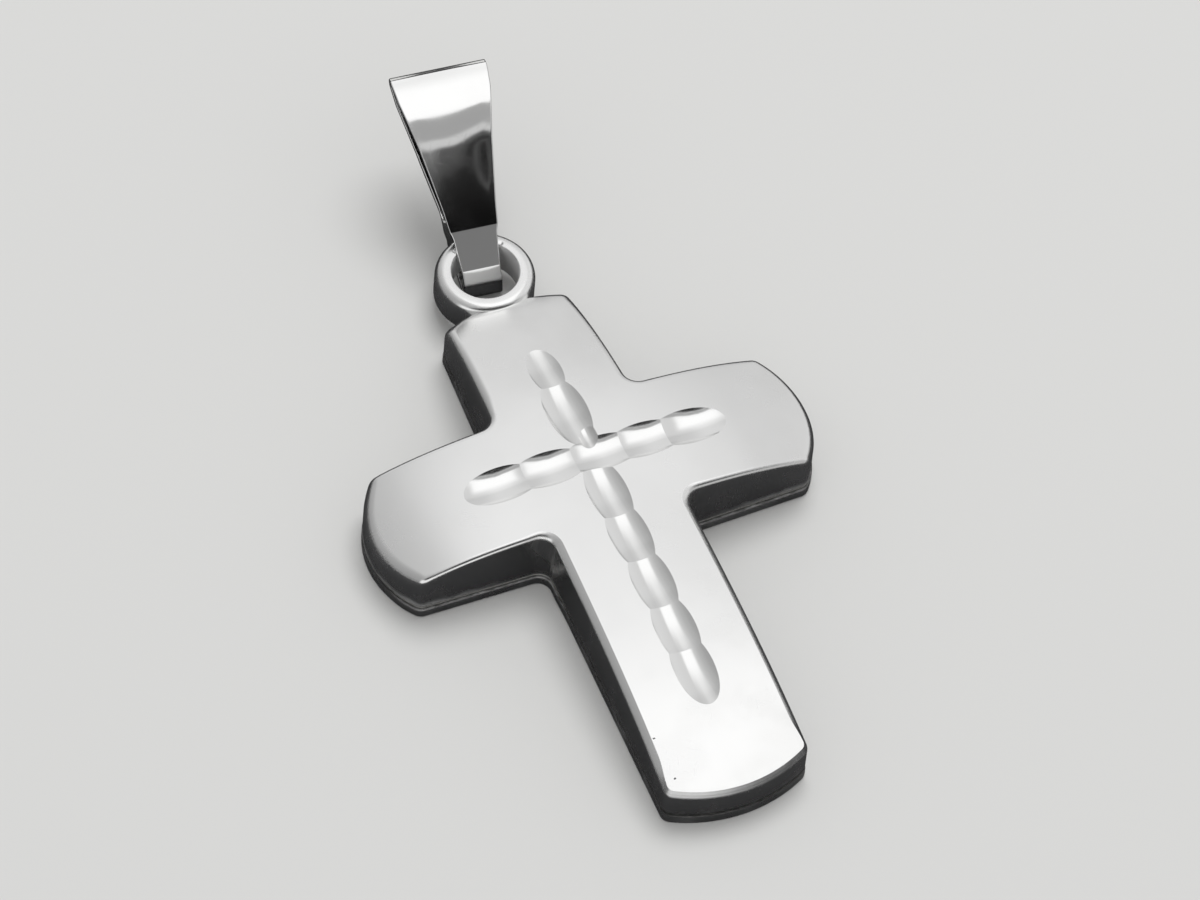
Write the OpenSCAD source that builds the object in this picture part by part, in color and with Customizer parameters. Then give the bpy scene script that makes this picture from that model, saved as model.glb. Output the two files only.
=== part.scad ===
// Cross pendant: a domed hollow cross with a soldered ring, and a folded strap bail.
// The cross lies on its back on z = 0. Its arms cross at the origin, the ring is
// towards +Y, and the engraved face looks up (+Z).

/* [Cross] */
// Height of the face above the back where the arms cross
thickness = 4.0; // [3.6:0.1:4.4]
// Reach of the left arm from the middle
left_reach = 11.3; // [10.6:0.1:12]
// Reach of the right arm from the middle
right_reach = 11.5; // [10.6:0.1:12]
// Reach of the upper arm from the middle
upper_reach = 11.18; // [11.1:0.02:11.24]
// Reach of the lower arm from the middle
lower_reach = 19.15; // [18.4:0.05:20]
// Width of the upper arm where it leaves the middle
upper_root_w = 7.08; // [6.8:0.02:7.3]
// Width of the upper arm at its end corners
upper_end_w = 6.52; // [6.3:0.02:7]
// Width of each side arm where it leaves the middle
side_root_w = 6.86; // [6.6:0.02:7.1]
// Width of each side arm at its end corners
side_end_w = 6.62; // [6.4:0.02:7]
// Width of the lower arm where it leaves the middle
lower_root_w = 7.0; // [6.8:0.02:7.2]
// Width of the lower arm at its end corners
lower_end_w = 7.42; // [7:0.02:7.8]
// Bulge of the upper arm's curved end
upper_bulge = 0.8; // [0.6:0.05:1]
// Bulge of each side arm's curved end
side_bulge = 1.3; // [1:0.05:1.5]
// Bulge of the lower arm's curved end
lower_bulge = 0.98; // [0.8:0.05:1.2]
// Radius of the eight outer corners
corner_r = 0.55; // [0.3:0.05:0.8]
// Radius in the four inner corners
inner_r = 0.75; // [0.4:0.05:1]

/* [Dome] */
// Fall of the face at the end of each side arm
side_fall = 1.5; // [1.2:0.05:1.7]
// Fall of the face at the end of the upper arm
upper_fall = 1.85; // [1.5:0.05:1.95]
// Fall of the face at the end of the lower arm
lower_fall = 1.72; // [1.4:0.05:1.9]

/* [Back plate and wall] */
// Thickness of the back plate
plate_t = 0.6; // [0.5:0.05:0.7]
// How far the back plate stands out past the wall
plate_lip = 0.08; // [0.04:0.01:0.12]
// Thickness of the pressed front shell
shell_t = 0.5; // [0.45:0.05:0.6]
// Height of the soldered seam between shell and plate
seam_h = 0.14; // [0.1:0.01:0.2]
// Depth of the soldered seam
seam_depth = 0.07; // [0.05:0.01:0.1]

/* [Cuts] */
// Depth of each scooped cut
cut_depth = 0.34; // [0.24:0.02:0.36]
// Radius of each cut along its arm
cut_len_r = 6.5; // [6:0.1:7]
// Radius of each cut across its arm
cut_wid_r = 1.6; // [1.3:0.05:1.7]

/* [Ring] */
// Distance of the ring's centre from the middle of the cross
ring_y = 12.9; // [12.86:0.02:12.94]
// Outer radius of the ring
ring_r = 2.48; // [2.44:0.01:2.5]
// Radius of the hole in the ring
ring_hole_r = 1.69; // [1.67:0.01:1.75]
// Height of the ring's underside above the table
ring_bottom = 0.65; // [0.62:0.01:0.7]
// Height of the ring's face above the table
ring_top = 2.6; // [2.55:0.01:2.62]

/* [Bail] */
// Thickness of the bail's strap
strap_t = 0.3; // [0.26:0.02:0.32]
// Half width of the strap where it bends through the ring
strap_low = 0.96; // [0.9:0.02:1]
// Half width of the strap at its widest, near the fold
strap_high = 2.44; // [2.2:0.02:2.6]
// Turn of the bail about the upright, as it lies
bail_turn = -8.2; // [-9:0.2:-7]
// Lean of the bail to one side, as it lies
bail_roll = 3; // [1:0.5:3]
// Rise of the bail's length over the table, as it lies
bail_rise = 34; // [32:0.5:36]

/* [Hidden] */

function dir(a) = [cos(a), sin(a)];
function unit(v) = v / norm(v);

// Points of an arc about c, from angle a to angle b
function arc(c, r, a, b, n) = [for (i = [0:n]) c + r * dir(a + (b - a) * i / n)];

// Points of a corner at p between points a and b, rounded to radius r
function rounded(a, p, b, r, n) =
    let (u = unit(a - p), v = unit(b - p),
         half = acos(max(-1, min(1, u * v))) / 2,
         c = p + unit(u + v) * r / sin(half),
         s = p + u * r / tan(half) - c, e = p + v * r / tan(half) - c,
         a0 = atan2(s[1], s[0]), turn = atan2(s[0] * e[1] - s[1] * e[0], s * e))
    [for (i = [0:n]) c + r * dir(a0 + turn * i / n)];

// Points of a closed path with rounded corners; each corner is [x, y, radius]
function rounded_path(cs, n) =
    [for (i = [0:len(cs) - 1])
        let (m = len(cs), p = cs[(i + m - 1) % m], c = cs[i], q = cs[(i + 1) % m])
        each rounded([p[0], p[1]], [c[0], c[1]], [q[0], q[1]], c[2], n)];

// Points of a closed path moved to its left by d
function moved(ps, d) =
    [for (i = [0:len(ps) - 1])
        let (m = len(ps), t = unit(ps[(i + 1) % m] - ps[(i + m - 1) % m]))
        ps[i] + d * [-t[1], t[0]]];

// Right half of an arm's end, pointing to +Y, from its side line round to the middle:
// w0 and w1 are its widths at the root and the end corners, g grows the outline
function half_end(root, w0, w1, reach, bulge, g) =
    let (corner_y = reach - bulge, hw0 = w0 / 2 + g, hw1 = w1 / 2 + g,
         end_r = (w1 * w1 / 4 + bulge * bulge) / (2 * bulge), c = [0, reach - end_r],
         big = end_r + g, r = corner_r + max(g, -0.4),
         side = unit([hw1 - hw0, corner_y - root]), inward = [-side[1], side[0]],
         // centre of the corner's arc: r inside the side line and r inside the end arc
         base = [hw0, root] + inward * r, rel = base - c, b = rel * side,
         s = -b + sqrt(b * b - rel * rel + (big - r) * (big - r)),
         k = base + side * s, a0 = atan2(-inward[1], -inward[0]), a1 = atan2(k[1] - c[1], k[0]))
    concat(arc(k, r, a0, a1, 5), [for (i = [1:7]) c + big * dir(a1 + (90 - a1) * i / 7)]);

function mirrored(ps) = [for (i = [len(ps) - 2:-1:0]) [-ps[i][0], ps[i][1]]];
function turned(ps, a) = [for (p = ps) [p[0] * cos(a) - p[1] * sin(a), p[0] * sin(a) + p[1] * cos(a)]];
function arm_end(root, w0, w1, reach, bulge, g, a) =
    let (h = half_end(root, w0, w1, reach, bulge, g)) turned(concat(h, mirrored(h)), a);

// Inner corner at [x, y] in the quadrant with signs sx, sy, rounded towards the opening
function inner(x, y, first, g) =
    let (r = inner_r - g, a = [first ? x : sign(x) * 9, first ? sign(y) * 9 : y],
         b = [first ? sign(x) * 9 : x, first ? y : sign(y) * 9])
    rounded(a, [x, y], b, r, 5);

// Whole outline, grown by g; runs anticlockwise from the upper right inner corner
function outline(g) =
    let (ux = upper_root_w / 2 + g, lx = lower_root_w / 2 + g, sy = side_root_w / 2 + g)
    concat(
        inner(ux, sy, false, g),
        arm_end(side_root_w / 2, upper_root_w, upper_end_w, upper_reach, upper_bulge, g, 0),
        inner(-ux, sy, true, g),
        arm_end(upper_root_w / 2, side_root_w, side_end_w, left_reach, side_bulge, g, 90),
        inner(-lx, -sy, false, g),
        arm_end(side_root_w / 2, lower_root_w, lower_end_w, lower_reach, lower_bulge, g, 180),
        inner(lx, -sy, true, g),
        arm_end(upper_root_w / 2, side_root_w, side_end_w, right_reach, side_bulge, g, 270));

module plan(g, z0, z1) {
    translate([0, 0, z0]) linear_extrude(height = z1 - z0) polygon(outline(g));
}

// Where the fall towards each end starts
side_flat = 3.0;
upper_flat = 3.2;
lower_flat = 5.0;
// Radius of the almost flat middle of the face
mid_r = 240;
// Radius of a fall of f between y0 and y1
function fall_r(y0, y1, f) = ((y1 - y0) * (y1 - y0) + f * f) / (2 * f);

// Section under the face, for reaches y1 (right) and y2 (left), lowered by d
module dome_section(flat1, y1, f1, flat2, y2, f2, d) {
    r1 = fall_r(flat1, y1, f1);
    r2 = fall_r(flat2, y2, f2);
    rise = 0.008;
    intersection() {
        translate([-25, -1]) square([50, 10]);
        translate([0, thickness - d - mid_r]) circle(r = mid_r, $fn = 400);
        union() {
            translate([-25, -1]) square([25 + flat1, 10]);
            translate([flat1, thickness - d - r1 + rise]) circle(r = r1, $fn = 300);
        }
        union() {
            translate([-flat2, -1]) square([25 + flat2, 10]);
            translate([-flat2, thickness - d - r2 + rise]) circle(r = r2, $fn = 300);
        }
    }
}

// Everything under the face, lowered by d
module under_face(d) {
    intersection() {
        rotate([90, 0, 90]) linear_extrude(height = 60, center = true)
            dome_section(upper_flat, upper_reach, upper_fall, lower_flat, lower_reach, lower_fall, d);
        rotate([90, 0, 0]) linear_extrude(height = 60, center = true)
            dome_section(side_flat, right_reach, side_fall, side_flat, left_reach, side_fall, d);
    }
}

// Places of the cuts along the side arms
side_cuts = [-4.96, -2.2, 0.62, 3.0, 5.7];
// Place of each cut along the upright arms, and how much deeper than the others it is
long_cuts = [[6.15, -0.16], [3.0, 0.05], [-2.3, 0], [-5.0, 0], [-7.98, 0], [-11.0, 0], [-13.5, -0.03]];

function fall_at(y, y0, y1, f) =
    y < y0 ? 0 : let (r = fall_r(y0, y1, f)) r - sqrt(r * r - (y - y0) * (y - y0));

// Round-edged wheel that sinks the cut, rolling along Y, its lowest point at the origin
module wheel() {
    translate([0, 0, cut_len_r]) rotate([0, 90, 0]) rotate_extrude($fn = 96)
        translate([cut_len_r - cut_wid_r, 0]) circle(r = cut_wid_r, $fn = 64);
}

module cuts() {
    for (x = side_cuts)
        translate([x, 0, thickness - cut_depth
            - fall_at(abs(x), side_flat, x > 0 ? right_reach : left_reach, side_fall)])
            rotate([0, 0, 90]) wheel();
    for (c = long_cuts)
        translate([0, c[0], thickness - cut_depth - c[1]
            - (c[0] > 0 ? fall_at(c[0], upper_flat, upper_reach, upper_fall)
                        : fall_at(-c[0], lower_flat, lower_reach, lower_fall))])
            wheel();
}

// Width and height of the ring's rounded outer shoulder
ring_shoulder = [0.58, 0.7];
function ring_section() = concat(
    [[ring_hole_r, ring_bottom + 0.08], [ring_hole_r + 0.08, ring_bottom],
     [ring_r - 0.12, ring_bottom], [ring_r, ring_bottom + 0.12]],
    [for (i = [0:8]) [ring_r - ring_shoulder[0] + ring_shoulder[0] * cos(90 * i / 8),
                      ring_top - ring_shoulder[1] + ring_shoulder[1] * sin(90 * i / 8)]],
    [[ring_hole_r + 0.1, ring_top], [ring_hole_r, ring_top - 0.1]]);

module ring() {
    translate([0, ring_y, 0]) rotate_extrude($fn = 96) polygon(ring_section());
}

module cross() {
    color("silver") difference() {
        union() {
            plan(plate_lip, 0, plate_t);
            plan(-seam_depth, plate_t - 0.1, plate_t + seam_h + 0.1);
            intersection() {
                plan(0, plate_t + seam_h, thickness + 1);
                under_face(0);
            }
            ring();
        }
        // hollow between shell and plate
        intersection() {
            plan(-shell_t, plate_t, thickness);
            under_face(shell_t);
        }
        cuts();
        // hole of the ring
        translate([0, ring_y, -1]) cylinder(h = 6, r = ring_hole_r, $fn = 96);
    }
}

// Where the strap's bend lies in the ring, on the table plane
bail_at = [0.01, 12.98];
// Corners of the strap's middle line in side view: along the bail, height, bend radius
bail_corners = [
    [0.15, 0.23, 0.28], [2.75, 0.23, 0.45], [3.35, 3.05, 0.9], [6.1, 4.3, 6],
    [9.96, 7.29, 0.21], [5.75, 6.08, 10], [2.05, 3.33, 0.8], [0.15, 2.47, 0.24]];
// Half widths of the strap, as shares from low to high, at distances along its rising length
bail_widths = [[-1, 0], [1.4, 0], [3.2, 0.1], [3.6, 0.18], [4.7, 0.27], [7.8, 0.6], [10.2, 0.93],
    [11.2, 1], [13, 1]];

module bail_section() {
    path = rounded_path(bail_corners, 7);
    difference() {
        polygon(moved(path, -strap_t / 2));
        polygon(moved(path, strap_t / 2));
    }
}

module bail_plan() {
    side = [for (s = bail_widths) [strap_low + (strap_high - strap_low) * s[1], s[0]]];
    polygon(concat(side, [for (i = [len(side) - 1:-1:0]) [-side[i][0], side[i][1]]]));
}

module bail() {
    color("silver") translate([bail_at[0], bail_at[1], 0]) rotate([0, -bail_roll, bail_turn])
        intersection() {
            rotate([90, 0, 90]) linear_extrude(height = 8, center = true) bail_section();
            rotate([bail_rise, 0, 0]) linear_extrude(height = 16, center = true) bail_plan();
        }
}

cross();
bail();
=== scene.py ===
import logging
import math
from dataclasses import dataclass, field
from enum import Enum
from typing import Iterable, Sequence

import bmesh
import bpy
from bpy.types import Material, Node, NodeSocket, Object
from mathutils import Matrix, Vector, geometry, kdtree

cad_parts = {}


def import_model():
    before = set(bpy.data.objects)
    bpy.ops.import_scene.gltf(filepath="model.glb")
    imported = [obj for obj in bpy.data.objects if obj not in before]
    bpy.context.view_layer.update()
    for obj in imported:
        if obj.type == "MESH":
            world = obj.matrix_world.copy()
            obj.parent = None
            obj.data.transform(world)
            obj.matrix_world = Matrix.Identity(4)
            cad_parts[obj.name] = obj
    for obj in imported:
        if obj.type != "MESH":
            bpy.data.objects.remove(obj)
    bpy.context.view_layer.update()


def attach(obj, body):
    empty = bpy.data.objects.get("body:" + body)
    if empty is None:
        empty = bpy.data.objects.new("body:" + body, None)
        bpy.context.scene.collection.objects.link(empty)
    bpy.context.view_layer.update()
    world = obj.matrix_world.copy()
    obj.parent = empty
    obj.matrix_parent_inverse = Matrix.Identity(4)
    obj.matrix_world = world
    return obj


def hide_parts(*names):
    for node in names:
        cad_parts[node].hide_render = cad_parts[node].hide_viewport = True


# Dressed model of a cross pendant: a domed shell with scooped cuts, its back plate,
# the solder between them, the ring and the folded strap bail. Sizes are in mm and
# become metres where a mesh is made.

MM = 0.001
CORNER_STEPS = 8
END_STEPS = 14
Point = tuple[float, float]
Triple = tuple[float, float, float]
Stretch = tuple[float, float, float, float]
Loop = list[Vector]

log = logging.getLogger("pendant")


# Plane geometry

def arc(centre: Point, radius: float, first: float, last: float, steps: int) -> list[Point]:
    """Points of an arc in even steps from one angle to another, in degrees, both included."""
    angles = [math.radians(first + (last - first) * i / steps) for i in range(steps + 1)]
    return [(centre[0] + radius * math.cos(a), centre[1] + radius * math.sin(a)) for a in angles]


def rounded(before: Point, corner: Point, after: Point, radius: float, steps: int) -> list[Point]:
    """Points of a corner that is rounded to a radius.

    Args:
        before: A point on the side that comes in.
        corner: The sharp corner.
        after: A point on the side that goes out.
        radius: Radius of the rounding.
        steps: Number of steps along it.

    Returns:
        The points along the rounding.
    """
    p = Vector(corner)
    u, v = (Vector(before) - p).normalized(), (Vector(after) - p).normalized()
    half = math.acos(max(-1.0, min(1.0, u.dot(v)))) / 2
    c = p + (u + v).normalized() * radius / math.sin(half)
    s = p + u * radius / math.tan(half) - c
    e = p + v * radius / math.tan(half) - c
    first = math.degrees(math.atan2(s.y, s.x))
    turn = math.degrees(math.atan2(s.x * e.y - s.y * e.x, s.dot(e)))
    return arc((c.x, c.y), radius, first, first + turn, steps)


def turned(points: Iterable[Point], angle: float) -> list[Point]:
    """Points turned about the origin by an angle in degrees."""
    c, s = math.cos(math.radians(angle)), math.sin(math.radians(angle))
    return [(x * c - y * s, x * s + y * c) for x, y in points]


def smoothstep(low: float, high: float, value: float) -> float:
    """Smooth rise from 0 at low to 1 at high."""
    t = max(0.0, min(1.0, (value - low) / (high - low)))
    return t * t * (3 - 2 * t)


@dataclass(frozen=True)
class Arm:
    """One arm of the cross, before it is turned to its place.

    root is the distance from the middle where its sides start, and turn is the
    way it points, in degrees from +Y.
    """

    root: float
    root_width: float
    end_width: float
    reach: float
    bulge: float
    turn: float

    def end(self, grow: float, corner: float) -> list[Point]:
        """Outline round the arm's end.

        Args:
            grow: How far the outline is grown.
            corner: Radius of the end's corners.

        Returns:
            The points from the right side round to the left.
        """
        half_root, half_end = self.root_width / 2 + grow, self.end_width / 2 + grow
        corner_y = self.reach - self.bulge
        end_r = (self.end_width ** 2 / 4 + self.bulge ** 2) / (2 * self.bulge)
        centre = Vector((0.0, self.reach - end_r))
        big, r = end_r + grow, corner + max(grow, -0.4)
        side = Vector((half_end - half_root, corner_y - self.root)).normalized()
        inward = Vector((-side.y, side.x))
        rel = Vector((half_root, self.root)) + inward * r - centre
        b = rel.dot(side)
        s = -b + math.sqrt(b * b - rel.dot(rel) + (big - r) ** 2)
        k = centre + rel + side * s
        a0 = math.degrees(math.atan2(-inward.y, -inward.x))
        a1 = math.degrees(math.atan2(k.y - centre.y, k.x - centre.x))
        half = arc((k.x, k.y), r, a0, a1, CORNER_STEPS)
        half += arc((centre.x, centre.y), big, a1, 90, END_STEPS)[1:]
        return turned(half + [(-x, y) for x, y in reversed(half[:-1])], self.turn)


@dataclass(frozen=True)
class Outline:
    """Outline of the cross, seen from above."""

    upper: Arm = Arm(3.43, 7.08, 6.52, 11.18, 0.8, 0)
    left: Arm = Arm(3.54, 6.86, 6.62, 11.3, 1.3, 90)
    lower: Arm = Arm(3.43, 7.0, 7.42, 19.15, 0.98, 180)
    right: Arm = Arm(3.54, 6.86, 6.62, 11.5, 1.3, 270)
    corner_r: float = 0.55
    inner_r: float = 0.75
    step: float = 0.3
    lip_near: Point = (-1.6, -2.8)
    lip_far: Point = (-6.4, -4.4)

    def _inner(self, x: float, y: float, along_y: bool, grow: float) -> list[Point]:
        """Rounded inner corner at (x, y).

        Args:
            x: Place across.
            y: Place along.
            along_y: Whether the first side runs along Y.
            grow: How far the outline is grown.

        Returns:
            The points.
        """
        over_y, over_x = (x, math.copysign(9, y)), (math.copysign(9, x), y)
        first, last = (over_y, over_x) if along_y else (over_x, over_y)
        return rounded(first, (x, y), last, self.inner_r - grow, CORNER_STEPS)

    def _parts(self, grow: float) -> list[list[Point]]:
        """Curved parts of the outline in order, grown by a distance.

        Args:
            grow: How far they are grown.

        Returns:
            The points of each part.
        """
        ux, lx = self.upper.root_width / 2 + grow, self.lower.root_width / 2 + grow
        sy = self.left.root_width / 2 + grow
        return [
            self._inner(ux, sy, False, grow), self.upper.end(grow, self.corner_r),
            self._inner(-ux, sy, True, grow), self.left.end(grow, self.corner_r),
            self._inner(-lx, -sy, False, grow), self.lower.end(grow, self.corner_r),
            self._inner(lx, -sy, True, grow), self.right.end(grow, self.corner_r)]

    def loop(self, grow: float) -> list[Point]:
        """Closed outline, grown by a distance, always with the same number of points.

        Args:
            grow: How far the outline is grown; less than 0 draws it in.

        Returns:
            The points, anticlockwise from above.
        """
        plain, parts = self._parts(0.0), self._parts(grow)
        points: list[Point] = []
        for i, part in enumerate(parts):
            nxt = (i + 1) % len(parts)
            gap = (Vector(plain[nxt][0]) - Vector(plain[i][-1])).length
            a, b = Vector(part[-1]), Vector(parts[nxt][0])
            n = max(2, round(gap / self.step))
            points += part
            points += [tuple(a.lerp(b, j / n)) for j in range(1, n)]
        return points

    def offset(self, grow: float, filed: float) -> list[Point]:
        """Closed outline grown by a small distance, most of which is filed away in places.

        Args:
            grow: How far the outline is grown along the near sides of the side arms.
            filed: Share of the distance that is filed away everywhere else.

        Returns:
            The points, as loop() gives them.
        """
        plain, grown = self.loop(0.0), self.loop(grow)
        points: list[Point] = []
        for a, b in zip(plain, grown):
            kept = smoothstep(*self.lip_near, a[1]) * smoothstep(*self.lip_far, a[1])
            share = 1 - filed * (1 - kept)
            points.append((a[0] + (b[0] - a[0]) * share, a[1] + (b[1] - a[1]) * share))
        return points


@dataclass(frozen=True)
class Dome:
    """Height of the face over the table, which falls towards each arm's end."""

    top: float = 4.01
    power: float = 3.3
    crown: float = 0.1
    half_root: float = 3.5
    side: Point = (11.3, 1.56)
    upper: Point = (11.18, 1.87)
    lower: Point = (19.15, 1.75)

    def z(self, x: float, y: float) -> float:
        """Height of the face at a place on the plane.

        Args:
            x: Place across.
            y: Place along.

        Returns:
            The height.
        """
        reach, fall = self.upper if y > 0 else self.lower
        side = self.side[1] * (abs(x) / self.side[0]) ** self.power
        across = x * x * y * y / (x * x + y * y + 1e-6) / self.half_root ** 2
        return self.top - side - fall * (abs(y) / reach) ** self.power - self.crown * across


# Meshes

def skin(loops: Sequence[Loop], closed_path: bool = False) -> tuple[list[Vector], list[list[int]]]:
    """Quads between rings of points that all have the same number of points.

    Args:
        loops: The rings, from the first to the last.
        closed_path: Whether the last ring joins the first.

    Returns:
        The vertices and the faces.
    """
    n = len(loops[0])
    verts = [p for ring in loops for p in ring]
    faces = []
    last = len(loops) if closed_path else len(loops) - 1
    for i in range(last):
        a, b = i * n, ((i + 1) % len(loops)) * n
        for j in range(n):
            k = (j + 1) % n
            faces.append([a + j, a + k, b + k, b + j])
    return verts, faces


def add_object(name: str, data: bpy.types.ID) -> Object:
    """Object of some data, linked into the scene.

    Args:
        name: Name of the object.
        data: Its data.

    Returns:
        The object.
    """
    obj = bpy.data.objects.new(name, data)
    bpy.context.scene.collection.objects.link(obj)
    return obj


def mesh_object(name: str, verts: Sequence[Vector], faces: Sequence[Sequence[int]]) -> Object:
    """Object in the scene from vertices in mm, with its faces turned outwards.

    Args:
        name: Name of the object.
        verts: Vertices, in mm.
        faces: Faces.

    Returns:
        The object, at the origin.
    """
    mesh = bpy.data.meshes.new(name)
    mesh.from_pydata([tuple(v * MM) for v in verts], [], [list(f) for f in faces])
    bm = bmesh.new()
    bm.from_mesh(mesh)
    bmesh.ops.remove_doubles(bm, verts=bm.verts, dist=1e-8)
    bmesh.ops.recalc_face_normals(bm, faces=bm.faces)
    bm.to_mesh(mesh)
    bm.free()
    return add_object(name, mesh)


def finish_mesh(obj: Object, sharp: float, wear: float, rims: Iterable[Vector] = ()) -> None:
    """Smooth faces, sharp edges, and an attribute that says how near an edge is.

    Args:
        obj: The piece.
        sharp: Edges that turn by more than this many degrees stay sharp.
        wear: Width of the worn band along the edges, in mm.
        rims: More places that wear like an edge, in mm.
    """
    bm = bmesh.new()
    bm.from_mesh(obj.data)
    near: list[Vector] = [p * MM for p in rims]
    for face in bm.faces:
        face.smooth = True
    for edge in bm.edges:
        if len(edge.link_faces) == 2 and edge.calc_face_angle(0.0) > math.radians(sharp):
            edge.smooth = False
            near += [v.co.copy() for v in edge.verts] + [(edge.verts[0].co + edge.verts[1].co) / 2]
    tree = kdtree.KDTree(max(1, len(near)))
    for i, p in enumerate(near):
        tree.insert(p, i)
    tree.balance()
    values = []
    for v in bm.verts:
        distance = tree.find(v.co)[2] if near else 1.0
        values.append(math.exp(-(distance / (wear * MM)) ** 2))
    bm.to_mesh(obj.data)
    bm.free()
    attribute = obj.data.attributes.new("rim", "FLOAT", "POINT")
    attribute.data.foreach_set("value", values)


def settle(obj: Object, body: str) -> None:
    """Lets a finished piece ride on its body, and logs how many triangles it has.

    Args:
        obj: The piece.
        body: The body that carries it.
    """
    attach(obj, body)
    obj.data.calc_loop_triangles()
    log.info("%s: %d triangles on %s", obj.name, len(obj.data.loop_triangles), body)


# Node trees

@dataclass
class NodeTree:
    """Small helper that adds nodes to a tree and links them."""

    tree: bpy.types.NodeTree

    def add(self, kind: str, values: dict | None = None, **settings: object) -> Node:
        """Adds a node.

        Args:
            kind: The node's type name.
            values: Inputs by name or number: a value, or an output socket to link.
            **settings: Settings of the node itself.

        Returns:
            The node.
        """
        node = self.tree.nodes.new(kind)
        for name, value in settings.items():
            setattr(node, name, value)
        for key, value in (values or {}).items():
            if isinstance(value, NodeSocket):
                self.tree.links.new(value, node.inputs[key])
            else:
                node.inputs[key].default_value = value
        return node

    def out(self, kind: str, values: dict | None = None, **settings: object) -> NodeSocket:
        """First output of a node that add() makes."""
        return self.add(kind, values, **settings).outputs[0]

    def link(self, value: NodeSocket, node: Node, name: str) -> None:
        """Links an output to the named input of a node."""
        self.tree.links.new(value, node.inputs[name])

    def group(self, tree: bpy.types.NodeTree, vector: object,
              values: dict[str, object] | None = None) -> Node:
        """Node group that is read at a place, with values for its other inputs."""
        return self.add("ShaderNodeGroup", {"Vector": vector, **(values or {})}, node_tree=tree)

    def math(self, operation: str, a: object, b: object = 0.0, clamp: bool = False) -> NodeSocket:
        """Result of a math node, kept between 0 and 1 if it is clamped."""
        return self.out("ShaderNodeMath", {0: a, 1: b}, operation=operation, use_clamp=clamp)

    def times(self, a: object, b: object, clamp: bool = False) -> NodeSocket:
        """Product of two values."""
        return self.math("MULTIPLY", a, b, clamp)

    def plus(self, a: object, b: object) -> NodeSocket:
        """Sum of two values."""
        return self.math("ADD", a, b)

    def more(self, value: object, mask: object, amount: float) -> NodeSocket:
        """A value raised by an amount where a mask says so."""
        return self.plus(value, self.times(mask, amount))

    def minus(self, a: object, b: object, clamp: bool = False) -> NodeSocket:
        """Difference of two values."""
        return self.math("SUBTRACT", a, b, clamp)

    def vector(self, operation: str, a: object, b: object) -> NodeSocket:
        """Result of a vector math node, which is a number for DISTANCE."""
        node = self.add("ShaderNodeVectorMath", {0: a, 1: b}, operation=operation)
        return node.outputs["Value" if operation == "DISTANCE" else "Vector"]

    def xyz(self, vector: object) -> list[NodeSocket]:
        """The three parts of a vector."""
        return list(self.add("ShaderNodeSeparateXYZ", {0: vector}).outputs)

    def ramp(self, fac: object, low: float, high: float, to_low: float = 0.0,
             to_high: float = 1.0) -> NodeSocket:
        """Smooth step of a value from one range to another.

        Args:
            fac: The value or socket.
            low: Where the rise starts.
            high: Where it ends.
            to_low: Result at the start.
            to_high: Result at the end.

        Returns:
            The output socket.
        """
        return self.out("ShaderNodeMapRange", {
            "Value": fac, "From Min": low, "From Max": high, "To Min": to_low, "To Max": to_high},
            interpolation_type="SMOOTHSTEP")

    def noise(self, vector: object, scale: object, detail: float = 2.0,
              roughness: float = 0.5) -> NodeSocket:
        """Value of a noise texture at a place, with its scale in features per metre."""
        return self.out("ShaderNodeTexNoise", {"Vector": vector, "Scale": scale,
                                               "Detail": detail, "Roughness": roughness})

    def mix(self, fac: object, a: object, b: object) -> NodeSocket:
        """Colour between two colours, where fac is the share of the second."""
        return self.add("ShaderNodeMix", {0: fac, 6: a, 7: b}, data_type="RGBA").outputs[2]


def new_group(name: str, kind: str, inputs: dict[str, tuple[str, object]],
              outputs: dict[str, str]) -> tuple[NodeTree, bpy.types.bpy_prop_collection, Node]:
    """Node group with named inputs and outputs.

    Args:
        name: Name of the group.
        kind: Type of the tree.
        inputs: Socket type and default by name.
        outputs: Socket type by name.

    Returns:
        The helper for the tree, the group's inputs by name, and its output node.
    """
    tree = bpy.data.node_groups.new(name, kind)
    for label, (socket, default) in inputs.items():
        made = tree.interface.new_socket(label, in_out="INPUT", socket_type=socket)
        if default is not None:
            made.default_value = default
    for label, socket in outputs.items():
        tree.interface.new_socket(label, in_out="OUTPUT", socket_type=socket)
    given = tree.nodes.new("NodeGroupInput").outputs
    return NodeTree(tree), given, tree.nodes.new("NodeGroupOutput")


FLOAT, VECTOR, COLOUR = "NodeSocketFloat", "NodeSocketVector", "NodeSocketColor"


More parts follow.
